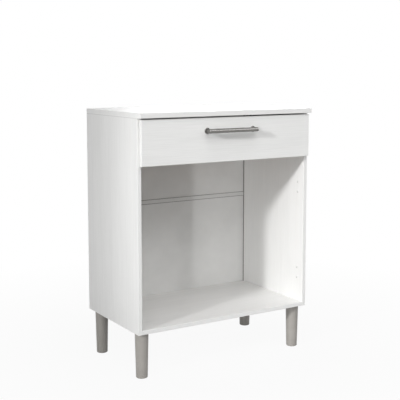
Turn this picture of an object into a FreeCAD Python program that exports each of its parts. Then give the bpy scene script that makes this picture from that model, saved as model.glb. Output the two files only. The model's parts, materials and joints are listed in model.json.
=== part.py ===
import FreeCAD, Part

import os
import re

import Sketcher

# A small kitchen cabinet on four tapered legs, with one drawer over an open compartment.
# Millimetres. X runs to the right, Y to the back and Z up. The origin is on the floor, in the middle of
# the space that the whole cabinet fills.

DIMENSIONS = {
    # carcass
    "overall_height": 765,
    "top_width": 600,
    "top_thick": 15,
    "top_overhang": 20,
    "edge_plane": 147,  # from the origin forward to the front edges of the side boards
    "side_depth": 330,
    "board": 12,
    "edge_round": 0.8,
    # legs
    "leg_height": 135,
    "leg_side_inset": 27,
    "leg_edge_inset": 33,
    "leg_top_width": 40,
    "leg_foot_width": 34,
    "leg_wall": 2.4,
    "leg_floor": 3.5,
    "leg_boss": 16,
    "leg_rib": 2,
    "leg_foot_bevel": 1.5,
    "stud_width": 8,
    "stud_length": 38,
    "stud_depth": 29,
    "insert_width": 11,
    "insert_length": 10,
    # back
    "back_thick": 3,
    "back_margin": 3,
    "strip_middle": 456,
    "strip_height": 15,
    "strip_flange": 1,
    "strip_web": 1.5,
    # cam joints and dowels
    "cam_width": 12,
    "cam_depth": 9.5,
    "cam_setback": 24,
    "cam_play": 1,
    "bolt_shank": 5,
    "bolt_bite": 8,
    "bolt_neck": 3.6,
    "bolt_head": 5.2,
    "bolt_head_long": 3.5,
    "bolt_bore": 7.2,
    "dowel_width": 6,
    "dowel_length": 28,
    "dowel_bite": 8.5,
    "dowel_space": 1,  # left for glue at the deep end
    "fit_play": 0.1,
    "top_bolt_front": 40,
    "top_bolt_run": 250,
    "top_dowel_front": 72,
    "top_dowel_run": 186,
    "floor_bolt_front": 90,
    "floor_bolt_run": 150,
    "floor_dowel_front": 70,
    "floor_dowel_run": 190,
    # pairs of holes for hinge plates
    "plate_hole_inset": 30,
    "plate_hole_pitch": 32,
    "plate_hole_low": 237.5,
    "plate_hole_high": 513.5,
    "plate_hole_width": 5,
    "plate_hole_depth": 9,
    # drawer
    "front_height": 130,
    "front_reveal": 6,
    "front_drop": 4,
    "front_gap": 2,
    "box_lift": 19,
    "box_height": 85,
    "box_depth": 300,
    "groove_lift": 8,
    "groove_depth": 5,
    "sheet_thick": 3,
    "sheet_play": 0.2,
    "box_bolt_lift": 42.5,
    "box_dowel_low": 18,
    "box_dowel_run": 49,
    "bumper_width": 8,
    "bumper_thick": 1.8,
    "bumper_inset": 8,
    "bumper_shift": 5,
    # drawer slides, measured from the axis of the rollers
    "slide_space": 12.5,
    "slide_metal": 1.2,
    "slide_length": 300,
    "slide_setback": 2,
    "axis_lift": 6.7,  # from the lower edge of the drawer box up to the axis
    "roller_width": 22,
    "roller_face": 5.4,
    "roller_standoff": 2.35,
    "roller_inset": 12,
    "roller_play": 0.3,
    "roller_recess": 9.6,
    "roller_recess_deep": 1.5,
    "axle_width": 5,
    "axle_shoulder": 7,
    "axle_tail": 4,
    "axle_head": 9,
    "axle_head_thick": 1.3,
    "end_plate": 25,
    "plate_lap": 1,
    "track_width": 10.6,
    "track_lip": 3.5,
    "cover_width": 7,
    "cover_play": 1.3,
    "wing_reach": 10.7,
    "wing_lip": 3,
    "foot_reach": 11,
    "front_stop_height": 6,
    "rear_stop_height": 8,
    "front_stop": 47.3,
    "rear_stop": 295.6,
    "slide_screw_first": 37,
    "slide_screw_second": 165,
    "slide_screw_third": 261,
    "slide_screw_drop": 4,
    "slide_screw_hole": 4,
    "plate_round": 5,
    # handle
    "bar_length": 170,
    "bar_width": 13,
    "bar_bevel": 1,
    "bar_reach": 19.5,  # from the face of the drawer front to the axis of the bar
    "bar_drop": 38,
    "post_run": 160,
    "post_width": 10,
    "post_foot": 18,
    "post_foot_thick": 2.5,
    "post_foot_bevel": 0.8,
    "post_bore": 11,
    "handle_screw": 4,
}

doc = FreeCAD.newDocument("kitchen_cabinet")
sheet = doc.addObject("Spreadsheet::Sheet", "Sizes")
for line, (alias, size) in enumerate(DIMENSIONS.items(), 1):
    sheet.set(f"A{line}", alias.replace("_", " "))
    sheet.set(f"B{line}", str(size))
    sheet.setAlias(f"B{line}", alias)
doc.recompute()

sub_parts = []


# Expressions. Sizes are written as text such as "board / 2", and each word that names a cell is bound to it.

def bound(text):
    return re.sub(r"[a-z_]+", lambda word: cell(word.group()), text)


def cell(word):
    return "Sizes." + word if word in DIMENSIONS else word


def measure(text):
    return float(sheet.evalExpression(bound(text)))


def drive(item, name, text):
    item.setExpression(name, bound(text))


def minus(text):
    return f"-({text})"


# The places that several sub-parts share.

LEFT = -1
RIGHT = 1
HANDS = (("left", LEFT), ("right", RIGHT))
FRONT_EDGE = "-edge_plane"
CASE_TOP = "overall_height - top_thick"
SIDE_HEIGHT = f"({CASE_TOP} - leg_height)"
INNER_HALF = "(top_width / 2 - board)"
SIDE_MIDDLE = "(top_width / 2 - board / 2)"
FRONT_BACK = "-edge_plane - front_gap"  # the back face of the drawer front
FRONT_FOOT = f"({CASE_TOP} - front_drop - front_height)"
BOX_FOOT = f"({FRONT_FOOT} + box_lift)"
BOX_HALF = f"({INNER_HALF} - slide_space)"
BOX_INNER = f"({BOX_HALF} - board)"
AXIS_HEIGHT = f"({BOX_FOOT} + axis_lift)"
BOLT_HOLE = "bolt_shank + fit_play"
BOLT_HOLE_DEEP = "bolt_bite + fit_play"
DOWEL_HOLE = "dowel_width + fit_play"
DOWEL_SHORT_HOLE = "dowel_bite + fit_play"
DOWEL_LONG_HOLE = "dowel_length - dowel_bite + dowel_space"
SLIDE_SCREWS = ("slide_screw_first", "slide_screw_second", "slide_screw_third")


# Building blocks.

def new_body(label, x="0", y="0", z="0"):
    body = doc.addObject("PartDesign::Body", label)
    body.Label = label
    for axis, text in zip("xyz", (x, y, z)):
        drive(body, "Placement.Base." + axis, text)
    sub_parts.append(body)
    return body


def origin_item(body, role):
    return next(item for item in body.Origin.OriginFeatures if item.Role == role)


def new_sketch(body, plane, at=("0", "0", "0")):
    """A sketch on a plane of the body's origin, with its own origin moved to a point of the body."""
    sketch = body.newObject("Sketcher::SketchObject", body.Label + "_sketch")
    sketch.AttachmentSupport = [(origin_item(body, plane + "_Plane"), "")]
    sketch.MapMode = "FlatFace"
    x, y, z = at
    offsets = {"XY": (x, y, z), "XZ": (x, z, minus(y)), "YZ": (y, z, x)}[plane]
    for axis, text in zip("xyz", offsets):
        drive(sketch, "AttachmentOffset.Base." + axis, text)
    return sketch


def pin(sketch, element, vertex, x, y):
    """Bind one point of a sketch to its distances from the sketch's origin."""
    for kind, text in (("DistanceX", x), ("DistanceY", y)):
        constraint = Sketcher.Constraint(kind, -1, 1, element, vertex, measure(text))
        index = sketch.addConstraint(constraint)
        drive(sketch, f"Constraints[{index}]", text)


def outline(sketch, corners):
    """A closed outline of straight edges through the corners."""
    points = [FreeCAD.Vector(measure(x), measure(y), 0) for x, y in corners]
    count = len(points)
    first = sketch.GeometryCount
    for index in range(count):
        sketch.addGeometry(Part.LineSegment(points[index], points[(index + 1) % count]), False)
    for index in range(count):
        following = first + (index + 1) % count
        sketch.addConstraint(Sketcher.Constraint("Coincident", first + index, 2, following, 1))
    for index, (x, y) in enumerate(corners):
        pin(sketch, first + index, 1, x, y)
    return sketch


def rectangle(sketch, left, right, low, high):
    return outline(sketch, ((left, low), (right, low), (right, high), (left, high)))


def circle(sketch, x, y, width):
    centre = FreeCAD.Vector(measure(x), measure(y), 0)
    shape = Part.Circle(centre, FreeCAD.Vector(0, 0, 1), measure(width) / 2)
    element = sketch.addGeometry(shape, False)
    pin(sketch, element, 3, x, y)
    index = sketch.addConstraint(Sketcher.Constraint("Diameter", element, measure(width)))
    drive(sketch, f"Constraints[{index}]", width)


def pad(body, sketch, length, along=1):
    """Raise a sketch along its normal, or against it where along is -1."""
    feature = body.newObject("PartDesign::Pad", "Pad")
    feature.Profile = sketch
    feature.Reversed = along < 0
    drive(feature, "Length", length)
    doc.recompute()
    return feature


def pocket(body, sketch, depth, along):
    """Cut a sketch into the body along its normal, or against it where along is -1."""
    before = body.Shape.Volume
    feature = body.newObject("PartDesign::Pocket", "Pocket")
    feature.Profile = sketch
    feature.Reversed = along > 0
    drive(feature, "Length", depth)
    doc.recompute()
    if body.Shape.Volume > before - 1e-3:
        raise ValueError(f"a pocket in {body.Label} cuts nothing")
    return feature


def drill(body, plane, at, centres, width, depth, along):
    """Round holes of one size in one face."""
    sketch = new_sketch(body, plane, at)
    for x, y in centres:
        circle(sketch, x, y, width)
    return pocket(body, sketch, depth, along)


def turn(body, plane, axis, profile, at=("0", "0", "0")):
    """Revolve a profile about the upright ("V") or level ("H") axis of its sketch."""
    sketch = outline(new_sketch(body, plane, at), profile)
    feature = body.newObject("PartDesign::Revolution", "Revolution")
    feature.Profile = sketch
    feature.ReferenceAxis = (sketch, [axis + "_Axis"])
    feature.Angle = 360
    doc.recompute()
    return feature


def soften(body, radius, chosen):
    """Round the edges of the body that the test picks."""
    dress(body, "Fillet", "Radius", radius, chosen)


def bevel(body, size, chosen):
    """Cut the edges of the body that the test picks to a chamfer."""
    dress(body, "Chamfer", "Size", size, chosen)


def dress(body, kind, name, size, chosen):
    base = body.Tip
    picked = [f"Edge{index}" for index, edge in enumerate(base.Shape.Edges, 1) if chosen(edge)]
    if not picked:
        raise ValueError(f"no edge of {body.Label} is picked")
    feature = body.newObject("PartDesign::" + kind, kind)
    feature.Base = (base, picked)
    drive(feature, name, size)
    doc.recompute()


def lies_at(axis, text):
    """A test for straight edges that lie wholly in one plane across an axis of the body."""
    level = measure(text)

    def test(edge):
        spots = [getattr(vertex.Point, axis) for vertex in edge.Vertexes]
        return len(spots) == 2 and all(abs(spot - level) < 1e-6 for spot in spots)

    return test


def any_of(*tests):
    return lambda edge: any(test(edge) for test in tests)


def all_of(*tests):
    return lambda edge: all(test(edge) for test in tests)


def row_along(body, axis, run, count="2"):
    """The settings of a row of copies along an axis of the body."""
    feature = body.newObject("PartDesign::LinearPattern", "Row")
    feature.Direction = (origin_item(body, axis + "_Axis"), [""])
    drive(feature, "Length", run)
    drive(feature, "Occurrences", count)
    return feature


def mirrored_across(body, plane="YZ"):
    feature = body.newObject("PartDesign::Mirrored", "Mirror")
    feature.MirrorPlane = (origin_item(body, plane + "_Plane"), [""])
    return feature


def repeat(body, originals, *steps):
    """Copy features by rows and mirrors, one after the other."""
    feature = body.newObject("PartDesign::MultiTransform", "Copies")
    feature.Originals = originals
    feature.Transformations = list(steps)
    body.Tip = feature
    doc.recompute()
    return feature


def stepped(*steps):
    """The half outline of a turned piece, from (distance along the axis, diameter) pairs."""
    corners = [("0", steps[0][0])]
    for (start, width), (end, _) in zip(steps, steps[1:]):
        corners.append((f"({width}) / 2", start))
        corners.append((f"({width}) / 2", end))
    corners.append(("0", steps[-1][0]))
    return corners


def flipped(profile):
    """The same half outline with its axis level in the sketch."""
    return [(along, out) for out, along in profile]


def backwards(profile):
    """The same half outline pointing the other way along its axis."""
    return [(out, minus(along)) for out, along in profile]


# Carcass.

def top_panel():
    body = new_body("top_panel", y=FRONT_EDGE, z=CASE_TOP)
    sketch = new_sketch(body, "XY")
    rectangle(sketch, "-top_width / 2", "top_width / 2", "-top_overhang", "side_depth")
    pad(body, sketch, "top_thick")
    sides = any_of(lies_at("x", "-top_width / 2"), lies_at("x", "top_width / 2"))
    front = lies_at("y", "-top_overhang")
    upper = lies_at("z", "top_thick")
    soften(body, "edge_round", any_of(front, all_of(upper, sides)))
    for hand in (LEFT, RIGHT):
        x = f"{hand} * {SIDE_MIDDLE}"
        bolts = [(x, "top_bolt_front"), (x, "top_bolt_front + top_bolt_run")]
        dowels = [(x, "top_dowel_front"), (x, "top_dowel_front + top_dowel_run")]
        drill(body, "XY", ("0", "0", "0"), bolts, BOLT_HOLE, BOLT_HOLE_DEEP, 1)
        drill(body, "XY", ("0", "0", "0"), dowels, DOWEL_HOLE, DOWEL_SHORT_HOLE, 1)


def side_board(name, hand):
    """An upright board. Its inner face looks towards the middle, so holes there run outwards."""
    body = new_body(name, x=f"{hand} * {SIDE_MIDDLE}", y=FRONT_EDGE, z="leg_height")
    sketch = new_sketch(body, "XY")
    rectangle(sketch, "-board / 2", "board / 2", "0", "side_depth")
    pad(body, sketch, SIDE_HEIGHT)
    faces = any_of(lies_at("x", "board / 2"), lies_at("x", "-board / 2"))
    soften(body, "edge_round", all_of(lies_at("y", "0"), faces))

    inner = (f"{-hand} * board / 2", "0", "0")
    upper_end = ("0", "0", SIDE_HEIGHT)
    bolt_rows = ("top_bolt_front", "top_bolt_front + top_bolt_run")
    dowel_rows = ("top_dowel_front", "top_dowel_front + top_dowel_run")
    cams = [(y, f"{SIDE_HEIGHT} - cam_setback") for y in bolt_rows]
    drill(body, "YZ", inner, cams, "cam_width", "cam_depth", hand)
    drill(body, "XY", upper_end, [("0", y) for y in bolt_rows], "bolt_bore", "cam_setback", -1)
    drill(body, "XY", upper_end, [("0", y) for y in dowel_rows], DOWEL_HOLE, DOWEL_LONG_HOLE, -1)

    floor_bolts = [(y, "board / 2") for y in ("floor_bolt_front", "floor_bolt_front + floor_bolt_run")]
    floor_dowels = [(y, "board / 2") for y in ("floor_dowel_front", "floor_dowel_front + floor_dowel_run")]
    drill(body, "YZ", inner, floor_bolts, BOLT_HOLE, BOLT_HOLE_DEEP, hand)
    drill(body, "YZ", inner, floor_dowels, DOWEL_HOLE, DOWEL_SHORT_HOLE, hand)

    plate_holes = []
    for middle in ("plate_hole_low", "plate_hole_high"):
        for step in (-1, 1):
            plate_holes.append(("plate_hole_inset", f"{middle} - leg_height + {step} * plate_hole_pitch / 2"))
    drill(body, "YZ", inner, plate_holes, "plate_hole_width", "plate_hole_depth", hand)


def bottom_panel():
    body = new_body("bottom_panel", y=FRONT_EDGE, z="leg_height")
    sketch = new_sketch(body, "XY")
    rectangle(sketch, f"-{INNER_HALF}", INNER_HALF, "0", "side_depth")
    pad(body, sketch, "board")
    soften(body, "edge_round", all_of(lies_at("y", "0"), any_of(lies_at("z", "0"), lies_at("z", "board"))))
    bolt_rows = ("floor_bolt_front", "floor_bolt_front + floor_bolt_run")
    dowel_rows = ("floor_dowel_front", "floor_dowel_front + floor_dowel_run")
    leg_rows = ("leg_edge_inset", "side_depth - leg_edge_inset")
    for hand in (LEFT, RIGHT):
        end = (f"{hand} * {INNER_HALF}", "0", "0")
        cams = [(f"{hand} * ({INNER_HALF} - cam_setback)", y) for y in bolt_rows]
        inserts = [(f"{hand} * (top_width / 2 - leg_side_inset)", y) for y in leg_rows]
        drill(body, "XY", ("0", "0", "0"), cams, "cam_width", "cam_depth", 1)
        drill(body, "XY", ("0", "0", "0"), inserts, "insert_width + fit_play", "insert_length + fit_play", 1)
        drill(body, "YZ", end, [(y, "board / 2") for y in bolt_rows], "bolt_bore", "cam_setback", -hand)
        drill(body, "YZ", end, [(y, "board / 2") for y in dowel_rows], DOWEL_HOLE, DOWEL_LONG_HOLE, -hand)


def back_panel(name, low, high):
    body = new_body(name, y=f"{FRONT_EDGE} + side_depth", z=low)
    sketch = new_sketch(body, "XY")
    rectangle(sketch, "-top_width / 2 + back_margin", "top_width / 2 - back_margin", "0", "back_thick")
    pad(body, sketch, f"{high} - ({low})")


def back_joint_strip():
    """An H profile that holds the two back panels edge to edge. It ends between the side boards."""
    body = new_body("back_joint_strip", x=f"-{INNER_HALF} + fit_play", y=f"{FRONT_EDGE} + side_depth",
                    z="strip_middle")
    half = "strip_height / 2"
    web = "strip_web / 2"
    back = "back_thick"
    behind = "back_thick + strip_flange"
    profile = [("-strip_flange", minus(half)), ("0", minus(half)), ("0", minus(web)), (back, minus(web)),
               (back, minus(half)), (behind, minus(half)), (behind, half), (back, half), (back, web),
               ("0", web), ("0", half), ("-strip_flange", half)]
    pad(body, outline(new_sketch(body, "YZ"), profile), f"2 * {INNER_HALF} - 2 * fit_play")


# Legs. Each is one hollow moulding: a tapered wall, a closed foot, and a boss held by four ribs.

def leg(name, hand, y):
    body = new_body(name, x=f"{hand} * (top_width / 2 - leg_side_inset)", y=f"{FRONT_EDGE} + {y}")
    floor_level = "leg_floor"
    cavity = "leg_foot_width / 2 - leg_wall"
    bore = "(stud_width + fit_play) / 2"
    bore_foot = "leg_height - stud_depth"
    profile = [("0", "0"), ("leg_foot_width / 2", "0"), ("leg_top_width / 2", "leg_height"),
               (cavity, "leg_height"), (cavity, floor_level),
               ("leg_boss / 2", floor_level), ("leg_boss / 2", "leg_height"), (bore, "leg_height"),
               (bore, bore_foot), ("0", bore_foot)]
    turn(body, "XZ", "V", profile)
    bevel(body, "leg_foot_bevel", foot_rim)

    boss_side = "leg_boss / 2 - leg_rib / 2"
    rib = new_sketch(body, "XZ", ("0", "leg_rib / 2", "0"))
    rectangle(rib, boss_side, f"{cavity} + leg_rib / 2", floor_level, "leg_height")
    first = pad(body, rib, "leg_rib")
    ribs = body.newObject("PartDesign::PolarPattern", "Ribs")
    ribs.Originals = [first]
    ribs.Axis = (origin_item(body, "Z_Axis"), [""])
    ribs.Angle = 360
    ribs.Occurrences = 4
    body.Tip = ribs
    doc.recompute()


def foot_rim(edge):
    """The round edge where the wall of a leg meets the floor."""
    bounds = edge.BoundBox
    return bounds.ZMax < 1e-6 and abs(bounds.XMax - measure("leg_foot_width") / 2) < 1e-3


def leg_fittings():
    """Studs in the bosses of the legs, and the bushes in the bottom panel that they screw into."""
    x = "leg_side_inset - top_width / 2"
    pitch = "side_depth - 2 * leg_edge_inset"
    start = (x, "leg_edge_inset", "0")
    bore = "(stud_width + fit_play) / 2"
    stud = stepped(("-stud_depth + fit_play", "stud_width"), ("stud_length - stud_depth", "0"))
    rim = "insert_width / 2"
    bush = [(bore, "0"), (rim, "0"), (rim, "insert_length"), (bore, "insert_length")]
    for name, profile in (("leg_studs", stud), ("leg_inserts", bush)):
        body = new_body(name, y=FRONT_EDGE, z="leg_height")
        first = turn(body, "XZ", "V", profile, start)
        repeat(body, [first], row_along(body, "Y", pitch), mirrored_across(body))


# Fasteners of the carcass and of the drawer box. Each group is one body of separate, equal pieces.

def bolt_profile():
    """A cam bolt from the tip in one board to the head in the cam of the other. Zero is the joint."""
    end = "cam_setback + bolt_head_long / 2 - cam_play"
    head = f"{end} - bolt_head_long"
    return stepped(("-bolt_bite", "bolt_shank"), ("0", "bolt_neck"), (head, "bolt_head"), (end, "0"))


def dowel_profile():
    """A dowel. Zero is the joint."""
    return stepped(("-dowel_bite", "dowel_width"), ("dowel_length - dowel_bite", "0"))


def carcass_fasteners():
    middle = f"-{SIDE_MIDDLE}"
    inner = f"-{INNER_HALF}"
    top_place = ("0", FRONT_EDGE, CASE_TOP)
    floor_place = ("0", FRONT_EDGE, "leg_height")

    upright = (("top_cam_bolts", backwards(bolt_profile()), "top_bolt_front", "top_bolt_run"),
               ("top_dowels", backwards(dowel_profile()), "top_dowel_front", "top_dowel_run"))
    for name, profile, y, run in upright:
        body = new_body(name, *top_place)
        first = turn(body, "XZ", "V", profile, (middle, y, "0"))
        repeat(body, [first], row_along(body, "Y", run), mirrored_across(body))

    level = (("bottom_cam_bolts", flipped(bolt_profile()), "floor_bolt_front", "floor_bolt_run"),
             ("bottom_dowels", flipped(dowel_profile()), "floor_dowel_front", "floor_dowel_run"))
    for name, profile, y, run in level:
        body = new_body(name, *floor_place)
        first = turn(body, "XY", "H", profile, (inner, y, "board / 2"))
        repeat(body, [first], row_along(body, "Y", run), mirrored_across(body))


# Drawer slides. Each pair is a fixed C rail with a roller at its front, and a moving rail whose wing rides on
# that roller and whose own roller, at the rear, runs in the C.

TRACK = "(roller_width / 2 + roller_play)"
WING_TOP = f"({TRACK} + slide_metal)"
COVER = f"({WING_TOP} + cover_play)"
RAIL_FOOT = f"-({TRACK} + slide_metal)"
RAIL_HEAD = f"({COVER} + slide_metal)"


def outward(hand, points):
    """Points whose first value is a distance from the cabinet's side, turned to the side's hand."""
    return [(f"{-hand} * ({out})", level) for out, level in points]


def cabinet_rail(side, hand):
    body = new_body(f"cabinet_rail_{side}", f"{hand} * {INNER_HALF}", f"{FRONT_EDGE} + slide_setback",
                    AXIS_HEIGHT)
    metal = "slide_metal"
    channel = [("0", RAIL_FOOT), ("track_width", RAIL_FOOT), ("track_width", f"-{TRACK} + track_lip"),
               (f"track_width - {metal}", f"-{TRACK} + track_lip"), (f"track_width - {metal}", f"-{TRACK}"),
               (metal, f"-{TRACK}"), (metal, COVER), ("cover_width", COVER), ("cover_width", RAIL_HEAD),
               ("0", RAIL_HEAD)]
    sketch = outline(new_sketch(body, "XZ", ("0", "end_plate", "0")), outward(hand, channel))
    pad(body, sketch, "slide_length - end_plate", -1)
    bends = any_of(all_of(lies_at("x", "0"), any_of(lies_at("z", RAIL_FOOT), lies_at("z", RAIL_HEAD))),
                   all_of(lies_at("x", f"{-hand} * track_width"), lies_at("z", RAIL_FOOT)))
    soften(body, "slide_metal * 0.75", bends)

    plate = new_sketch(body, "YZ")
    rectangle(plate, "0", "end_plate + plate_lap", RAIL_FOOT, RAIL_HEAD)
    pad(body, plate, metal, -hand)
    soften(body, "plate_round", all_of(lies_at("y", "0"), runs_across))

    for stop, height in (("front_stop", "front_stop_height"), ("rear_stop", "rear_stop_height")):
        tab = new_sketch(body, "XZ", ("0", stop, "0"))
        corners = [(metal, f"-{TRACK}"), (f"track_width - {metal}", f"-{TRACK}"),
                   (f"track_width - {metal}", f"-{TRACK} + {height}"), (metal, f"-{TRACK} + {height}")]
        pad(body, outline(tab, outward(hand, corners)), metal, -1)

    drill(body, "YZ", ("0", "0", "0"), [("roller_inset", "0")], "axle_tail", metal, -hand)
    screws = [(f"{y} - slide_setback", "-slide_screw_drop") for y in SLIDE_SCREWS]
    drill(body, "YZ", ("0", "0", "0"), screws, "slide_screw_hole", metal, -hand)


def runs_across(edge):
    """A test for edges along X."""
    bounds = edge.BoundBox
    return bounds.YLength < 1e-6 and bounds.ZLength < 1e-6


def drawer_rail(side, hand):
    body = new_body(f"drawer_rail_{side}", x=f"{hand} * {BOX_HALF}", y=FRONT_BACK, z=AXIS_HEIGHT)
    metal = "slide_metal"
    foot = "-axis_lift"
    section = [("foot_reach", f"{foot} - {metal}"), (f"-{metal}", f"{foot} - {metal}"), (f"-{metal}", TRACK),
               (f"{metal} - wing_reach", TRACK), (f"{metal} - wing_reach", f"{TRACK} - wing_lip"),
               ("-wing_reach", f"{TRACK} - wing_lip"), ("-wing_reach", WING_TOP), ("0", WING_TOP),
               ("0", foot), ("foot_reach", foot)]
    wing_length = "slide_length - end_plate - plate_lap"
    sketch = outline(new_sketch(body, "XZ"), outward(hand, section))
    pad(body, sketch, wing_length, -1)
    bends = any_of(all_of(lies_at("x", f"{hand} * slide_metal"), lies_at("z", f"{foot} - {metal}")),
                   all_of(lies_at("x", f"{hand} * wing_reach"), lies_at("z", WING_TOP)))
    soften(body, "slide_metal * 0.75", bends)

    plate = new_sketch(body, "YZ")
    rectangle(plate, f"{wing_length} - plate_lap", "slide_length", f"{foot} - {metal}", WING_TOP)
    pad(body, plate, metal, hand)
    soften(body, "plate_round", all_of(lies_at("y", "slide_length"), runs_across))

    axle = [("slide_length - roller_inset", "0")]
    drill(body, "YZ", ("0", "0", "0"), axle, "axle_tail", metal, hand)
    screws = [(f"{-hand} * board / 2", y) for y in SLIDE_SCREWS]
    drill(body, "XY", ("0", "0", f"{foot} - {metal}"), screws, "slide_screw_hole", metal, 1)


def roller(name, x, y, outwards):
    """A nylon roller with a recess for the head of its rivet."""
    body = new_body(name, x=x, y=y, z=AXIS_HEIGHT)
    bore = "(axle_width + fit_play) / 2"
    near = f"{outwards} * fit_play / 2"
    far = f"{outwards} * roller_face"
    floor = f"{outwards} * (roller_face - roller_recess_deep)"
    rim = "roller_width / 2"
    recess = "roller_recess / 2"
    profile = [(near, bore), (near, rim), (far, rim), (far, recess), (floor, recess), (floor, bore)]
    turn(body, "XY", "H", profile)


def rivets(name, y, x, outwards):
    """The rivets that the two rollers of one kind turn on, from the tail in the rail to the head."""
    body = new_body(name, y=y, z=AXIS_HEIGHT)
    head = "slide_metal + roller_standoff + roller_face - roller_recess_deep"
    profile = stepped(("0", "axle_tail"), ("slide_metal", "axle_shoulder"),
                      ("slide_metal + roller_standoff", "axle_width"), (head, "axle_head"),
                      (f"{head} + axle_head_thick", "0"))
    if outwards < 0:
        profile = backwards(profile)
    first = turn(body, "XY", "H", flipped(profile), (minus(x), "0", "0"))
    repeat(body, [first], mirrored_across(body))


def slides():
    standoff = "(slide_metal + roller_standoff)"
    front_axle = f"{FRONT_EDGE} + slide_setback + roller_inset"
    rear_axle = f"{FRONT_BACK} + slide_length - roller_inset"
    for side, hand in HANDS:
        cabinet_rail(side, hand)
        drawer_rail(side, hand)
        roller(f"cabinet_roller_{side}", f"{hand} * ({INNER_HALF} - {standoff})", front_axle, -hand)
        roller(f"drawer_roller_{side}", f"{hand} * ({BOX_HALF} + {standoff})", rear_axle, hand)
    rivets("cabinet_roller_rivets", front_axle, INNER_HALF, 1)
    rivets("drawer_roller_rivets", rear_axle, BOX_HALF, -1)


# Drawer.

def drawer_front():
    body = new_body("drawer_front", y=FRONT_BACK, z=FRONT_FOOT)
    half = "(top_width / 2 - front_reveal)"
    sketch = new_sketch(body, "XZ")
    rectangle(sketch, f"-{half}", half, "0", "front_height")
    pad(body, sketch, "board")
    soften(body, "edge_round", lies_at("y", "-board"))
    back = ("0", "0", "0")
    grip = [(f"{hand} * post_run / 2", "front_height - bar_drop") for hand in (LEFT, RIGHT)]
    drill(body, "XZ", back, grip, "handle_screw + 4 * fit_play", "board", 1)
    middle = f"({BOX_HALF} - board / 2)"
    bolts = [(f"{hand} * {middle}", "box_lift + box_bolt_lift") for hand in (LEFT, RIGHT)]
    drill(body, "XZ", back, bolts, BOLT_HOLE, BOLT_HOLE_DEEP, 1)
    for rise in ("0", "box_dowel_run"):
        dowels = [(f"{hand} * {middle}", f"box_lift + box_dowel_low + {rise}") for hand in (LEFT, RIGHT)]
        drill(body, "XZ", back, dowels, DOWEL_HOLE, DOWEL_SHORT_HOLE, 1)
    groove = new_sketch(body, "XZ")
    wide = f"({BOX_INNER} + groove_depth + sheet_play)"
    low = "box_lift + groove_lift"
    rectangle(groove, f"-{wide}", wide, low, f"{low} + sheet_thick + sheet_play")
    pocket(body, groove, "groove_depth + sheet_play", 1)


def drawer_side(side, hand):
    body = new_body(f"drawer_side_{side}", x=f"{hand} * ({BOX_HALF} - board / 2)", y=FRONT_BACK, z=BOX_FOOT)
    sketch = new_sketch(body, "XY")
    rectangle(sketch, "-board / 2", "board / 2", "0", "box_depth")
    pad(body, sketch, "box_height")
    faces = any_of(lies_at("x", "board / 2"), lies_at("x", "-board / 2"))
    soften(body, "edge_round", all_of(lies_at("z", "box_height"), faces))

    inner_face = f"{-hand} * board / 2"
    groove = new_sketch(body, "XZ")
    ends = [inner_face, f"{-hand} * (board / 2 - groove_depth - sheet_play)"]
    outline(groove, [(ends[0], "groove_lift"), (ends[1], "groove_lift"),
                     (ends[1], "groove_lift + sheet_thick + sheet_play"),
                     (ends[0], "groove_lift + sheet_thick + sheet_play")])
    pocket(body, groove, "box_depth", -1)

    cam_place = [("cam_setback", "box_bolt_lift")]
    drill(body, "YZ", (inner_face, "0", "0"), cam_place, "cam_width", "cam_depth", hand)
    front_end = ("0", "0", "0")
    drill(body, "XZ", front_end, [("0", "box_bolt_lift")], "bolt_bore", "cam_setback", -1)
    dowels = [("0", f"box_dowel_low + {rise}") for rise in ("0", "box_dowel_run")]
    drill(body, "XZ", front_end, dowels, DOWEL_HOLE, DOWEL_LONG_HOLE, -1)


def drawer_back():
    body = new_body("drawer_back", y=f"{FRONT_BACK} + box_depth - board",
                    z=f"{BOX_FOOT} + groove_lift + sheet_thick + sheet_play")
    sketch = new_sketch(body, "XY")
    rectangle(sketch, f"-{BOX_INNER}", BOX_INNER, "0", "board")
    rise = "(box_height - groove_lift - sheet_thick - sheet_play)"
    pad(body, sketch, rise)
    soften(body, "edge_round", all_of(lies_at("z", rise), any_of(lies_at("y", "0"), lies_at("y", "board"))))


def drawer_bottom():
    body = new_body("drawer_bottom", y=FRONT_BACK, z=f"{BOX_FOOT} + groove_lift + sheet_play / 2")
    wide = f"({BOX_INNER} + groove_depth)"
    sketch = new_sketch(body, "XY")
    rectangle(sketch, f"-{wide}", wide, "-groove_depth", "box_depth")
    pad(body, sketch, "sheet_thick")


def drawer_fasteners():
    middle = f"-({BOX_HALF} - board / 2)"
    box = ("0", FRONT_BACK, BOX_FOOT)
    body = new_body("drawer_cam_bolts", *box)
    first = turn(body, "XY", "V", bolt_profile(), (middle, "0", "box_bolt_lift"))
    repeat(body, [first], mirrored_across(body))
    body = new_body("drawer_dowels", *box)
    first = turn(body, "XY", "V", dowel_profile(), (middle, "0", "box_dowel_low"))
    repeat(body, [first], row_along(body, "Z", "box_dowel_run"), mirrored_across(body))

    body = new_body("drawer_bumpers", y=FRONT_BACK, z=FRONT_FOOT)
    disc = stepped(("0", "bumper_width"), ("bumper_thick", "0"))
    first = turn(body, "XY", "V", disc, (f"-{SIDE_MIDDLE} + bumper_shift", "0", "bumper_inset"))
    repeat(body, [first], row_along(body, "Z", "front_height - 2 * bumper_inset"), mirrored_across(body))


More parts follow.
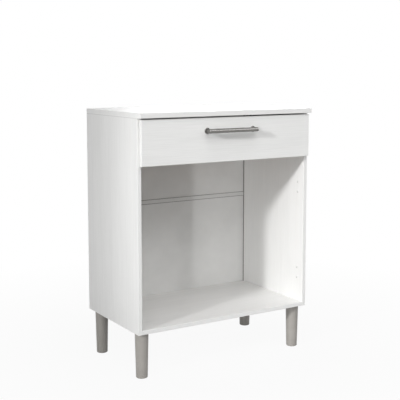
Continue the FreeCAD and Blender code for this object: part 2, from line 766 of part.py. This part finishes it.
def cams():
    """The cams, each in the inner face of its board, with its mouth towards the bolt's board."""
    past_head = "bolt_head_long / 2"
    face = f"-{INNER_HALF} - fit_play"
    level = "-cam_setback"
    body = new_body("top_cams", y=FRONT_EDGE, z=CASE_TOP)
    features = cam(body, "YZ", (face, "top_bolt_front", level), -1,
                   "XY", (f"-{SIDE_MIDDLE}", "top_bolt_front", f"{level} - {past_head}"), 1)
    repeat(body, features, row_along(body, "Y", "top_bolt_run"), mirrored_across(body))

    x = f"-({INNER_HALF} - cam_setback)"
    body = new_body("bottom_cams", y=FRONT_EDGE, z="leg_height")
    features = cam(body, "XY", (x, "floor_bolt_front", "fit_play"), 1,
                   "YZ", (f"{x} + {past_head}", "floor_bolt_front", "board / 2"), -1)
    repeat(body, features, row_along(body, "Y", "floor_bolt_run"), mirrored_across(body))

    body = new_body("drawer_cams", y=FRONT_BACK, z=BOX_FOOT)
    features = cam(body, "YZ", (f"-{BOX_INNER} - fit_play", "cam_setback", "box_bolt_lift"), -1,
                   "XZ", (f"-{BOX_INNER} - board / 2", f"cam_setback + {past_head}", "box_bolt_lift"), 1)
    repeat(body, features, mirrored_across(body))


def cam(body, plane, at, along, mouth_plane, mouth_at, mouth_along):
    """A round cam with a slot across its face, and a side mouth for the head of its bolt."""
    face = new_sketch(body, plane, at)
    circle(face, "0", "0", "cam_width - 2 * fit_play")
    disc = pad(body, face, "cam_depth - 2 * fit_play", along)
    arm = "cam_width / 3"
    half = "cam_width / 16"
    slot = rectangle(new_sketch(body, plane, at), minus(arm), arm, minus(half), half)
    cut = pocket(body, slot, "cam_depth / 6", along)
    mouth = new_sketch(body, mouth_plane, mouth_at)
    circle(mouth, "0", "0", "bolt_head + 4 * fit_play")
    opening = pocket(body, mouth, "cam_width", mouth_along)
    return [disc, cut, opening]


# Handle: a round bar on two posts that are hollowed to seat it.

def handle():
    place = {"y": FRONT_BACK, "z": f"{FRONT_FOOT} + front_height - bar_drop"}
    bar_axis = "(board + bar_reach)"
    body = new_body("handle_bar", **place)
    section = new_sketch(body, "YZ", ("-bar_length / 2", f"-{bar_axis}", "0"))
    circle(section, "0", "0", "bar_width")
    pad(body, section, "bar_length")
    bevel(body, "bar_bevel", lambda edge: edge.BoundBox.XLength < 1e-6)

    for side, hand in HANDS:
        post = new_body(f"handle_post_{side}", x=f"{hand} * post_run / 2", **place)
        profile = stepped(("board", "post_foot"), ("board + post_foot_thick", "post_width"),
                          (f"{bar_axis} - bar_width / 4", "0"))
        turn(post, "XY", "V", backwards(profile))
        bevel(post, "post_foot_bevel", foot_edge)
        seat = new_sketch(post, "YZ", ("-post_foot", f"-{bar_axis}", "0"))
        circle(seat, "0", "0", "bar_width")
        pocket(post, seat, "2 * post_foot", 1)
        drill(post, "XZ", ("0", "-board", "0"), [("0", "0")], "handle_screw + fit_play", "post_bore", 1)


def foot_edge(edge):
    """The outer front rim of the foot of a handle post."""
    bounds = edge.BoundBox
    level = -measure("board + post_foot_thick")
    outer = bounds.XMax > measure("post_foot") / 2 - 1e-3
    return outer and bounds.YLength < 1e-6 and abs(bounds.YMax - level) < 1e-3


def build():
    top_panel()
    for side, hand in HANDS:
        side_board(f"{side}_side", hand)
    bottom_panel()
    back_panel("back_upper", "strip_middle + strip_web / 2", "overall_height - back_margin")
    back_panel("back_lower", "leg_height + back_margin", "strip_middle - strip_web / 2")
    back_joint_strip()
    for side, hand in HANDS:
        leg(f"leg_front_{side}", hand, "leg_edge_inset")
        leg(f"leg_back_{side}", hand, "side_depth - leg_edge_inset")
    leg_fittings()
    carcass_fasteners()
    slides()
    drawer_front()
    for side, hand in HANDS:
        drawer_side(side, hand)
    drawer_back()
    drawer_bottom()
    drawer_fasteners()
    cams()
    handle()


def check():
    doc.recompute()
    for item in doc.Objects:
        faults = {"Invalid", "Error"}.intersection(item.State)
        if faults:
            raise ValueError(f"{item.Label} is {faults}")
    for body in sub_parts:
        if body.Shape.isNull() or not body.Shape.isValid():
            raise ValueError(f"{body.Label} has no valid shape")


def write():
    os.makedirs("parts", exist_ok=True)
    for body in sub_parts:
        body.Shape.exportStep(f"parts/{body.Label}.step")


build()
check()
write()
print(f"{len(sub_parts)} sub-parts written")
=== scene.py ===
import json
import math

import bmesh
import bpy
from mathutils import Matrix, Vector


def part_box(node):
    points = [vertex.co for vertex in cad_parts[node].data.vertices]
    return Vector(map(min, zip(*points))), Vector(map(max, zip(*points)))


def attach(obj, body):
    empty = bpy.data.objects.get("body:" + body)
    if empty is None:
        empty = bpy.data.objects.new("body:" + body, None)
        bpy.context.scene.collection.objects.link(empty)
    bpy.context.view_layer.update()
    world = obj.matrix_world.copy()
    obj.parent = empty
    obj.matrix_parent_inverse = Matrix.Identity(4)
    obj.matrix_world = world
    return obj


# A small white kitchen cabinet on four tapered legs, with one drawer over an open compartment.
# Metres. X runs to the right, Y to the back and Z up. The origin is on the floor, under the cabinet.

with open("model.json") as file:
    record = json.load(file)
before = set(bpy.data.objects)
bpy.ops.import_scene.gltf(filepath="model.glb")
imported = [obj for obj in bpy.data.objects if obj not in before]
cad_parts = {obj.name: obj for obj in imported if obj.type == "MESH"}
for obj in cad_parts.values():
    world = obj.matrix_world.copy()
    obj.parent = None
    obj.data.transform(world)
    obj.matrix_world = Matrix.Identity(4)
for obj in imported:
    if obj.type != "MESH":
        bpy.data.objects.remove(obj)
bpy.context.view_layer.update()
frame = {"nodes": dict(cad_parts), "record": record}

MM = 0.001

# Colours of the finishes, as linear values. A finish with a light and a dark one is mottled between them.
FOIL_LIGHT = (0.83, 0.83, 0.82)
FOIL_DARK = (0.785, 0.785, 0.775)
EDGE_BAND = (0.80, 0.80, 0.79)
CHIP_LIGHT = (0.55, 0.42, 0.27)
CHIP_DARK = (0.25, 0.16, 0.09)
LACQUER = (0.78, 0.78, 0.77)
FIBRE_LIGHT = (0.33, 0.20, 0.11)
FIBRE_DARK = (0.20, 0.115, 0.06)
LEG_LIGHT = (0.37, 0.352, 0.33)
LEG_DARK = (0.32, 0.303, 0.28)
NICKEL_LIGHT = (0.22, 0.214, 0.206)
NICKEL_DARK = (0.15, 0.146, 0.139)
ENAMEL = (0.76, 0.76, 0.74)
NYLON = (0.74, 0.72, 0.66)
ZINC_LIGHT = (0.62, 0.63, 0.65)
ZINC_DARK = (0.44, 0.45, 0.47)
BEECH_LIGHT = (0.60, 0.40, 0.22)
BEECH_DARK = (0.46, 0.28, 0.14)
PROFILE = (0.74, 0.74, 0.73)
BUMPER = (0.66, 0.66, 0.64)
PAPER = (0.40, 0.40, 0.40)
WHITE = (1.0, 1.0, 1.0)

# Thin lines: painted shade in the back corner of the sides, the joint where the top meets the sides, and
# painted shade along the edges of the strip.
CORNER_SHADE = (0.20, 0.19, 0.175)
CORNER_SHADE_WIDTH = 5 * MM
JOINT = (0.60, 0.60, 0.59)
JOINT_WIDTH = 1.2 * MM
FLANGE_SHADE = (0.22, 0.215, 0.205)
FLANGE_SHADE_WIDTH = 1.5 * MM
INNER_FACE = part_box("right_side")[0].x


# Materials. Patterns lie in each piece's own space, so they move with it.

def add(tree, kind, inputs=None, output=0, **settings):
    """A node of the tree, as the output that is used. Inputs are numbers, colours or other outputs."""
    node = tree.nodes.new("ShaderNode" + kind)
    for name, value in settings.items():
        setattr(node, name, value)
    for name, value in (inputs or {}).items():
        if isinstance(value, bpy.types.NodeSocket):
            tree.links.new(value, node.inputs[name])
        else:
            node.inputs[name].default_value = value
    return node.outputs[output]


def mixed(tree, share, first, second):
    """The colour between two others, by a share from 0 to 1. The node's colour sockets go by number."""
    share_input, first_input, second_input, colour_output = 0, 6, 7, 2
    inputs = {share_input: share}
    for socket, colour in ((first_input, first), (second_input, second)):
        inputs[socket] = colour if isinstance(colour, bpy.types.NodeSocket) else (*colour, 1)
    return add(tree, "Mix", inputs, output=colour_output, data_type="RGBA")


def counted(tree, operation, first, second=0.0):
    return add(tree, "Math", {0: first, 1: second}, operation=operation)


def weighted(tree, *terms):
    """The sum of two values, each given with its weight."""
    first, second = (counted(tree, "MULTIPLY", value, weight) for value, weight in terms)
    return counted(tree, "ADD", first, second)


def spread(tree, value, low, high, new_low=0.0, new_high=1.0):
    """A value brought from one range to another, and kept inside it."""
    return add(tree, "MapRange", {"Value": value, "From Min": low, "From Max": high,
                                  "To Min": new_low, "To Max": new_high})


def own_place(tree):
    """The place in the piece's own space."""
    return add(tree, "TexCoord", output="Object")


def coordinate(tree, axis):
    return add(tree, "SeparateXYZ", {"Vector": own_place(tree)}, output=axis)


def faces(tree, axis, sign):
    """1 where the surface looks along an axis, else 0."""
    normal = add(tree, "TexCoord", output="Normal")
    value = add(tree, "SeparateXYZ", {"Vector": normal}, output=axis)
    return counted(tree, "GREATER_THAN", counted(tree, "MULTIPLY", value, sign), 0.9)


def streaks(tree, axis, along, across, detail=3.0):
    """Noise drawn out along one axis. Its marks are so long along it, and so wide across it."""
    scale = [1 / along if direction == axis else 1 / across for direction in "XYZ"]
    place = add(tree, "Mapping", {"Vector": own_place(tree), "Scale": scale})
    return add(tree, "TexNoise", {"Vector": place, "Scale": 1.0, "Detail": detail, "Roughness": 0.55})


def specks(tree, size, detail=2.0):
    """Noise whose marks have one size in all directions."""
    return streaks(tree, "X", size, size, detail)


def relief(tree, height, depth, strength=1.0):
    return add(tree, "Bump", {"Height": height, "Distance": depth, "Strength": strength})


def darker(colour, share):
    return tuple(share * part for part in colour)


def finish(name, draw):
    """A material whose draw function gives the shader's inputs."""
    material = bpy.data.materials.new(name)
    material.use_nodes = True
    tree = material.node_tree
    tree.nodes.clear()
    shader = add(tree, "BsdfPrincipled", draw(tree))
    target = tree.nodes.new("ShaderNodeOutputMaterial")
    tree.links.new(shader, target.inputs["Surface"])
    return material


def chipboard(tree):
    """The bare core of a board: pressed chips of two browns."""
    chips = add(tree, "TexVoronoi", {"Vector": own_place(tree), "Scale": 620.0}, output="Color")
    chip = add(tree, "SeparateColor", {"Color": chips}, output="Red")
    shade = weighted(tree, (chip, 0.6), (specks(tree, 3 * MM), 0.4))
    return mixed(tree, spread(tree, shade, 0.15, 0.75), CHIP_DARK, CHIP_LIGHT)


def foil(tree, axis):
    """White foil with a faint wood grain along an axis: its colour, and the shader's other inputs."""
    broad = streaks(tree, axis, 420 * MM, 26 * MM, 2.0)
    fine = streaks(tree, axis, 95 * MM, 2.2 * MM, 4.0)
    grain = weighted(tree, (broad, 0.35), (fine, 0.65))
    pores = weighted(tree, (fine, 1.0), (specks(tree, 0.9 * MM), 0.25))
    surface = {"Roughness": spread(tree, fine, 0.3, 0.7, 0.48, 0.38),
               "Normal": relief(tree, pores, 0.12 * MM, 0.55)}
    return mixed(tree, spread(tree, grain, 0.38, 0.60), FOIL_DARK, FOIL_LIGHT), surface


def foiled_board(name, axis, node=None):
    """A board in foil, with a band on its front edge and a bare back edge.

    On an upright node, thin lines are drawn in the back corner, as painted shade, and under the top, as the
    joint.
    """
    def draw(tree):
        white, surface = foil(tree, axis)
        banded = mixed(tree, faces(tree, "Y", -1), white, EDGE_BAND)
        if node:
            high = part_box(node)[1]
            # A dark line of painted shade along the back corner of the inner face, as in a gap where the
            # back meets the side.
            behind = counted(tree, "GREATER_THAN", coordinate(tree, "Y"), high.y - CORNER_SHADE_WIDTH)
            aside = counted(tree, "ABSOLUTE", coordinate(tree, "X"))
            inside = counted(tree, "LESS_THAN", aside, INNER_FACE + MM)
            banded = mixed(tree, counted(tree, "MULTIPLY", behind, inside), banded, CORNER_SHADE)
            under_top = counted(tree, "GREATER_THAN", coordinate(tree, "Z"), high.z - JOINT_WIDTH)
            banded = mixed(tree, under_top, banded, JOINT)
        return {"Base Color": mixed(tree, faces(tree, "Y", 1), banded, chipboard(tree)), **surface}
    return finish(name, draw)


def foiled_all_round(name, axis):
    """A board of the drawer, with foil on its edges too."""
    def draw(tree):
        white, surface = foil(tree, axis)
        return {"Base Color": white, **surface}
    return finish(name, draw)


def lacquered_sheet(name, bare_axis, bare_sign):
    """Thin fibre board, lacquered white, and bare brown on the face that looks along the axis."""
    def draw(tree):
        cloud = specks(tree, 55 * MM)
        white = mixed(tree, spread(tree, cloud, 0.3, 0.7), darker(LACQUER, 0.95), LACQUER)
        felt = weighted(tree, (specks(tree, 1.4 * MM, 4.0), 0.6), (specks(tree, 18 * MM), 0.4))
        fibre = mixed(tree, spread(tree, felt, 0.35, 0.65), FIBRE_DARK, FIBRE_LIGHT)
        bare = faces(tree, bare_axis, bare_sign)
        return {"Base Color": mixed(tree, bare, white, fibre),
                "Roughness": spread(tree, bare, 0, 1, 0.42, 0.85),
                "Normal": relief(tree, felt, 0.08 * MM, 0.6)}
    return finish(name, draw)


def mottled(name, dark, light, size, roughness, depth, more=None):
    """A plain finish with soft differences of tone and a fine relief, and more of the shader's inputs."""
    def draw(tree):
        cloud = specks(tree, size)
        grit = specks(tree, size / 40, 3.0)
        return {"Base Color": mixed(tree, spread(tree, cloud, 0.3, 0.7), dark, light),
                "Roughness": spread(tree, grit, 0.3, 0.7, roughness - 0.05, roughness + 0.05),
                "Normal": relief(tree, grit, depth, 0.6), **(more or {})}
    return finish(name, draw)


def shaded_strip(name, node):
    """White plastic with a dark line of painted shade along each long edge, where it lies over the sheets.
    """
    low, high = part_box(node)
    middle = (low.z + high.z) / 2
    half = (high.z - low.z) / 2

    def draw(tree):
        # Dark lines of painted shade along both long edges, as in the shadow under the flanges.
        aside = counted(tree, "ABSOLUTE", counted(tree, "SUBTRACT", coordinate(tree, "Z"), middle))
        line = counted(tree, "GREATER_THAN", aside, half - FLANGE_SHADE_WIDTH)
        cloud = specks(tree, 30 * MM)
        plastic = mixed(tree, spread(tree, cloud, 0.3, 0.7), darker(PROFILE, 0.96), PROFILE)
        return {"Base Color": mixed(tree, line, plastic, FLANGE_SHADE), "Roughness": 0.4,
                "Normal": relief(tree, specks(tree, 0.8 * MM), 0.02 * MM, 0.6)}
    return finish(name, draw)


def brushed(name, axis, dark, light, roughness, metallic):
    """Metal brushed along an axis."""
    def draw(tree):
        lines = streaks(tree, axis, 60 * MM, 0.35 * MM, 4.0)
        cloud = specks(tree, 12 * MM)
        return {"Base Color": mixed(tree, spread(tree, lines, 0.35, 0.65), dark, light),
                "Metallic": metallic,
                "Roughness": spread(tree, cloud, 0.3, 0.7, roughness - 0.04, roughness + 0.04),
                "Normal": relief(tree, lines, 0.006 * MM, 0.4)}
    return finish(name, draw)


def beech(name):
    """Bare wood with its grain upright."""
    def draw(tree):
        grain = streaks(tree, "Z", 20 * MM, 0.8 * MM)
        return {"Base Color": mixed(tree, spread(tree, grain, 0.35, 0.65), BEECH_DARK, BEECH_LIGHT),
                "Roughness": 0.7, "Normal": relief(tree, grain, 0.05 * MM)}
    return finish(name, draw)


level_board = foiled_board("foil_level", "X")
upright_board = foiled_board("foil_upright", "Z", "left_side")
long_board = foiled_all_round("foil_drawer_side", "Y")
face_board = foiled_all_round("foil_drawer_front", "X")
back_sheet = lacquered_sheet("lacquer_back", "Y", 1)
floor_sheet = lacquered_sheet("lacquer_drawer_floor", "Z", -1)
profile = shaded_strip("profile_plastic", "back_joint_strip")
leg_plastic = mottled("leg_plastic", LEG_DARK, LEG_LIGHT, 60 * MM, 0.42, 0.06 * MM)
nickel = brushed("satin_nickel", "X", NICKEL_DARK, NICKEL_LIGHT, 0.20, 0.75)
enamel = mottled("rail_enamel", darker(ENAMEL, 0.95), ENAMEL, 40 * MM, 0.38, 0.05 * MM)
nylon = mottled("roller_nylon", darker(NYLON, 0.93), NYLON, 12 * MM, 0.45, 0.02 * MM,
                {"Subsurface Weight": 0.1})
zinc = mottled("zinc_plate", ZINC_DARK, ZINC_LIGHT, 6 * MM, 0.36, 0.02 * MM, {"Metallic": 1.0})
cam_alloy = mottled("cam_alloy", darker(ZINC_DARK, 0.8), darker(ZINC_LIGHT, 0.85), 4 * MM, 0.5, 0.05 * MM,
                    {"Metallic": 1.0})
bumper = mottled("bumper_plastic", darker(BUMPER, 0.92), BUMPER, 5 * MM, 0.3, 0.02 * MM,
                 {"Transmission Weight": 0.4})
dowel_wood = beech("dowel_beech")

NODE_FINISHES = {
    "top_panel": level_board,
    "bottom_panel": level_board,
    "left_side": upright_board,
    "right_side": upright_board,
    "drawer_front": face_board,
    "drawer_back": face_board,
    "drawer_side_left": long_board,
    "drawer_side_right": long_board,
    "back_upper": back_sheet,
    "back_lower": back_sheet,
    "drawer_bottom": floor_sheet,
    "back_joint_strip": profile,
    "handle_bar": nickel,
    "handle_post_left": nickel,
    "handle_post_right": nickel,
}
SLOT_FINISHES = {
    "leg_plastic": leg_plastic,
    "rail_enamel": enamel,
    "roller_nylon": nylon,
    "zinc_steel": zinc,
    "cam_alloy": cam_alloy,
    "dowel_wood": dowel_wood,
    "soft_bumper": bumper,
}


def dress_nodes():
    """Give every solid its finish."""
    for part in frame["record"]["subparts"]:
        name = part["node"]
        node = frame["nodes"][name]
        material = NODE_FINISHES.get(name) or SLOT_FINISHES[part["material_slot"]]
        node.data.materials.clear()
        node.data.materials.append(material)


# Small fasteners: one shape each, repeated at the places that the solids give.

SHARP_ANGLE = math.radians(35)

# A place on the left has its mirror image on the right, with the other sign of X.
HANDS = {"left": 1, "right": -1}


def lathed(profile, steps=32):
    """A mesh turned about Z from (radius, height) points. It closes to a point where the radius is 0."""
    mesh = bmesh.new()
    angles = [2 * math.pi * step / steps for step in range(steps)]
    rings = []
    for radius, height in profile:
        around = angles if radius else [0]
        rings.append([mesh.verts.new((radius * math.cos(a), radius * math.sin(a), height)) for a in around])
    for lower, upper in zip(rings, rings[1:]):
        for step in range(steps):
            corners = [ring[(step + shift) % len(ring)]
                       for ring, shift in ((lower, 0), (lower, 1), (upper, 1), (upper, 0))]
            mesh.faces.new(list(dict.fromkeys(corners)))
    bmesh.ops.recalc_face_normals(mesh, faces=mesh.faces)
    return mesh


def cross_cutter(arm, width, deep):
    """Two crossed blocks, narrower at the foot, that cut a driver's recess as deep as half their height."""
    foot_share = 0.45
    mesh = bmesh.new()
    for turn in (0, math.pi / 2):
        block = bmesh.ops.create_cube(mesh, size=1)["verts"]
        for corner in block:
            taper = 1.0 if corner.co.z > 0 else foot_share
            corner.co = Vector((corner.co.x * 2 * arm * taper, corner.co.y * width, corner.co.z * 2 * deep))
        bmesh.ops.rotate(mesh, verts=block, matrix=Matrix.Rotation(turn, 3, "Z"))
    return mesh


def object_from(mesh, name):
    """A new object that holds a mesh, which is used up."""
    data = bpy.data.meshes.new(name)
    mesh.to_mesh(data)
    mesh.free()
    item = bpy.data.objects.new(name, data)
    bpy.context.scene.collection.objects.link(item)
    return item


def cut_cross(head, arm, width, deep, top):
    """A head's mesh with a cross recess in its top."""
    cutter = object_from(cross_cutter(arm, width, deep), "cutter")
    cutter.location.z = top
    item = object_from(head, "head")
    boolean = item.modifiers.new("recess", "BOOLEAN")
    boolean.operation = "DIFFERENCE"
    boolean.solver = "EXACT"
    boolean.use_self = True
    boolean.object = cutter
    bpy.context.view_layer.update()
    result = bpy.data.meshes.new_from_object(item.evaluated_get(bpy.context.evaluated_depsgraph_get()))
    bpy.data.objects.remove(item)
    bpy.data.objects.remove(cutter)
    return result


def pan_head(width, height):
    """A domed screw head. Zero is the surface that it sits on."""
    radius = width / 2
    sunk = 0.4 * MM
    wall = 0.35
    dome_steps = 6
    turns = (math.pi / 2 * step / dome_steps for step in range(dome_steps))
    dome = [(radius * math.cos(turn), height * (wall + (1 - wall) * math.sin(turn))) for turn in turns]
    shape = lathed([(0, -sunk), (0.9 * radius, -sunk), (radius, 0.1 * height), *dome, (0, height)])
    return cut_cross(shape, 0.42 * radius, 0.16 * radius, 0.6 * height, height)


def flat_head(width, proud):
    """A countersunk head that stands a little proud of its board."""
    radius = width / 2
    sunk = 1.6 * MM
    recess = 1.2 * MM
    shape = lathed([(0, -sunk), (0.5 * radius, -sunk), (radius, -0.1 * MM), (radius, 0.6 * proud),
                    (0.93 * radius, proud), (0, proud)])
    return cut_cross(shape, 0.5 * radius, 0.16 * radius, recess, proud)


def nail_head(width, height):
    """A flat nail head with a softened rim."""
    radius = width / 2
    sunk = 0.5 * MM
    shape = lathed([(0, -sunk), (0.35 * radius, -sunk), (radius, 0), (radius, 0.45 * height),
                    (0.9 * radius, 0.85 * height), (0.6 * radius, height), (0, height)])
    data = bpy.data.meshes.new("nail_head")
    shape.to_mesh(data)
    shape.free()
    return data


def fastened(name, body, shape, places, outward):
    """Copies of one shape at the places, each with its head outward, as one piece on a body."""
    turned = Vector(outward).to_track_quat("Z", "Y").to_matrix().to_4x4()
    mesh = bmesh.new()
    for place in places:
        start = len(mesh.verts)
        mesh.from_mesh(shape)
        mesh.verts.ensure_lookup_table()
        bmesh.ops.transform(mesh, matrix=Matrix.Translation(place) @ turned, verts=mesh.verts[start:])
    item = object_from(mesh, name)
    item.data.materials.append(zinc)
    item.data.shade_smooth()
    item.data.set_sharp_from_angle(angle=SHARP_ANGLE)
    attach(item, body)


def evenly(first, last, count):
    return [first + (last - first) * step / (count - 1) for step in range(count)]


def centre(box):
    """The middle of a box, given as its low and high corners."""
    return (box[0] + box[1]) / 2


def rail_screws():
    """Screws through each rail into its board, at the same steps behind the board's front edge."""
    steps = [37 * MM, 165 * MM, 261 * MM]
    shape = pan_head(7 * MM, 1.7 * MM)
    metal = 1.2 * MM
    below_axis = 4 * MM
    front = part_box("left_side")[0].y
    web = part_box("cabinet_rail_left")[0].x + metal
    z = centre(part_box("cabinet_roller_left")).z - below_axis
    for side, hand in HANDS.items():
        places = [(hand * web, front + step, z) for step in steps]
        fastened(f"cabinet_rail_screws_{side}", "carcass", shape, places, (hand, 0, 0))

    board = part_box("drawer_side_left")
    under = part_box("drawer_rail_left")[0].z
    for side, hand in HANDS.items():
        places = [(hand * centre(board).x, board[0].y + step, under) for step in steps]
        fastened(f"drawer_rail_screws_{side}", "drawer", shape, places, (0, 0, -1))


def drawer_screws():
    """Screws that hold the drawer's back between its sides, and the handle's screws."""
    shape = flat_head(7 * MM, 0.25 * MM)
    heights = [35 * MM, 70 * MM]
    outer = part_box("drawer_side_left")[0]
    y = centre(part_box("drawer_back")).y
    for side, hand in HANDS.items():
        places = [(hand * outer.x, y, outer.z + height) for height in heights]
        fastened(f"drawer_back_screws_{side}", "drawer", shape, places, (-hand, 0, 0))

    posts = [centre(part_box("handle_post_left")), centre(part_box("handle_post_right"))]
    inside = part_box("drawer_front")[1].y
    places = [(post.x, inside, post.z) for post in posts]
    fastened("handle_screws", "drawer", pan_head(8 * MM, 2.4 * MM), places, (0, 1, 0))


def nails():
    """Nails round the back panels, and along the back edge of the drawer's floor."""
    shape = nail_head(5 * MM, 0.75 * MM)
    from_foot = 40 * MM
    from_top = 25 * MM
    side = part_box("left_side")
    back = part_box("back_upper")[1].y
    upright = [(hand * centre(side).x, back, z) for hand in HANDS.values()
               for z in evenly(side[0].z + from_foot, side[1].z - from_top, 8)]
    levels = [centre(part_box("top_panel")).z, centre(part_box("bottom_panel")).z]
    reach = 270 * MM
    level = [(x, back, z) for z in levels for x in evenly(-reach, reach, 5)]
    fastened("back_nails", "carcass", shape, upright + level, (0, 1, 0))

    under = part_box("drawer_bottom")[0].z
    y = centre(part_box("drawer_back")).y
    reach = 180 * MM
    places = [(x, y, under) for x in evenly(-reach, reach, 5)]
    fastened("drawer_floor_nails", "drawer", shape, places, (0, 0, -1))


# Stage, lights and camera.

def seen_directly(tree):
    """1 for the rays that see the white studio: the camera's, and those off gloss or through glass."""
    path = tree.nodes.new("ShaderNodeLightPath")
    seen = path.outputs["Is Camera Ray"]
    for ray in ("Is Glossy Ray", "Is Transmission Ray"):
        seen = counted(tree, "MAXIMUM", seen, path.outputs[ray])
    return seen


def studio_floor():
    """A pale floor that fades into the white studio away from the cabinet, and keeps its shadow."""
    near, far = 0.35, 1.4
    white_near, white_far = 0.94, 1.0
    material = bpy.data.materials.new("studio_floor")
    material.use_nodes = True
    tree = material.node_tree
    tree.nodes.clear()
    paper = add(tree, "BsdfDiffuse", {"Color": (*PAPER, 1)})
    glow = add(tree, "Emission", {"Color": (*WHITE, 1), "Strength": 1.0})
    distance = add(tree, "VectorMath", {0: own_place(tree)}, output="Value", operation="LENGTH")
    share = counted(tree, "MULTIPLY", seen_directly(tree),
                    spread(tree, distance, near, far, white_near, white_far))
    look = add(tree, "MixShader", {0: share, 1: paper, 2: glow})
    target = tree.nodes.new("ShaderNodeOutputMaterial")
    tree.links.new(look, target.inputs["Surface"])

    mesh = bmesh.new()
    bmesh.ops.create_grid(mesh, x_segments=8, y_segments=8, size=9)
    floor = object_from(mesh, "floor")
    floor.location.z = -0.3 * MM
    floor.data.materials.append(material)


def studio_world():
    """Faint light from all round, which the camera and mirror-like surfaces see as white."""
    level = 0.10
    world = bpy.data.worlds.new("studio")
    bpy.context.scene.world = world
    world.use_nodes = True
    tree = world.node_tree
    tree.nodes.clear()
    strength = spread(tree, seen_directly(tree), 0, 1, level, 1.0)
    light = add(tree, "Background", {"Color": (*WHITE, 1), "Strength": strength})
    target = tree.nodes.new("ShaderNodeOutputWorld")
    tree.links.new(light, target.inputs["Surface"])


def lamp(kind, name, strength, travel, **settings):
    """A lamp that shines along a direction."""
    data = bpy.data.lights.new(name, kind)
    data.energy = strength
    for setting, value in settings.items():
        setattr(data, setting, value)
    item = bpy.data.objects.new(name, data)
    bpy.context.scene.collection.objects.link(item)
    item.rotation_euler = Vector(travel).to_track_quat("-Z", "Y").to_euler()
    return item


def key_lamp():
    """A spot from the front left. Its soft edge dims the left side towards the back."""
    reach = 5.0
    aim = Vector((0, 0, 0.45))
    travel = Vector((0.886, 0.324, -0.330)).normalized()
    aside = Matrix.Rotation(math.radians(-13), 3, "Z") @ travel
    key = lamp("SPOT", "key", 640, aside,
               spot_size=math.radians(31.6), spot_blend=0.65, shadow_soft_size=0.20)
    key.location = aim - reach * travel


# Far lamps: strength, travel, and the width of the disc in degrees. A wider disc gives softer shadows.
FAR_LAMPS = {
    "low": (0.56, (0.749, 0.662, 0.0), 3),
    "above": (1.44, (0.15, 0.55, -0.82), 45),
    "left": (1.25, (0.95, 0.30, 0.0), 60),
    "front": (0.16, (0.10, 0.98, -0.15), 50),
    "right": (0.38, (-0.56, 0.67, -0.47), 14),
    "rear": (0.85, (-0.60, -0.78, -0.12), 20),
}


def lights():
    """The even world, the key and the far lamps."""
    studio_world()
    key_lamp()
    for name, (strength, travel, disc) in FAR_LAMPS.items():
        lamp("SUN", name, strength, travel, angle=math.radians(disc))


def camera():
    """The camera of the photograph: about a metre up, to the left of the cabinet, looking slightly down."""
    picture_pixels = 400
    focal_pixels = 854.48
    yaw = 0.559
    pitch = 0.106
    lens = bpy.data.cameras.new("camera")
    lens.sensor_width = 36
    lens.lens = focal_pixels * lens.sensor_width / picture_pixels
    lens.shift_y = -0.10
    item = bpy.data.objects.new("camera", lens)
    bpy.context.scene.collection.objects.link(item)
    item.location = (-1.398086, -2.229046, 0.884792)
    item.rotation_euler = (math.pi / 2 - pitch, 0, -yaw)
    bpy.context.scene.camera = item


dress_nodes()
rail_screws()
drawer_screws()
nails()
studio_floor()
lights()
camera()
bpy.context.scene.view_settings.view_transform = "Standard"
